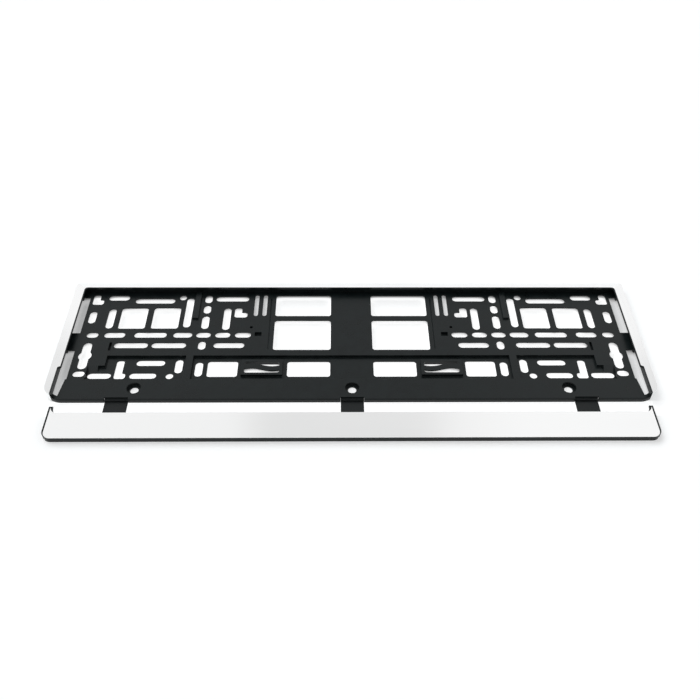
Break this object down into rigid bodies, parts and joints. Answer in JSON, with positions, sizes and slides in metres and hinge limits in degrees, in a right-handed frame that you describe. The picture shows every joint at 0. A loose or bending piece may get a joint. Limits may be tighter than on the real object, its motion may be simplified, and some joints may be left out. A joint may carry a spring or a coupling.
{
  "type": "number plate holder",
  "caption": "Flat pierced black holder for a long number plate, with a bright sloped rim on the top and sides and a bright lower strip that folds over on straps.",
  "frame": {"origin": "on the back plane, in the middle of the middle screw hole of the lower band", "axes": "+X along the plate to the right, +Y towards the holder's top edge, +Z out of the front"},
  "size_m": [0.5434, 0.1899, 0.0122],
  "materials": {
    "black_plastic": "satin moulded black plastic",
    "bright_facing": "bright metallised facing"
  },
  "bodies": {
    "base": {"base_plate": "black_plastic", "frame_trim": "bright_facing"},
    "straps": {"hinge_strap_left": "black_plastic", "hinge_strap_middle": "black_plastic", "hinge_strap_right": "black_plastic"},
    "strip": {"cover_strip": "black_plastic", "strip_trim": "bright_facing"}
  },
  "joints": [
    {"name": "strap_fold", "type": "hinge", "parent": "base", "child": "straps", "pos_m": [0, -0.0121, 0.0028], "axis": [-1, 0, 0], "range_deg": [0, 180]},
    {"name": "strip_fold", "type": "hinge", "parent": "straps", "child": "strip", "pos_m": [0, -0.0321, 0], "axis": [1, 0, 0], "range_deg": [0, 180]}
  ],
  "couplings": [
    {"joint": "strip_fold", "follows": "strap_fold", "ratio": 1}
  ]
}
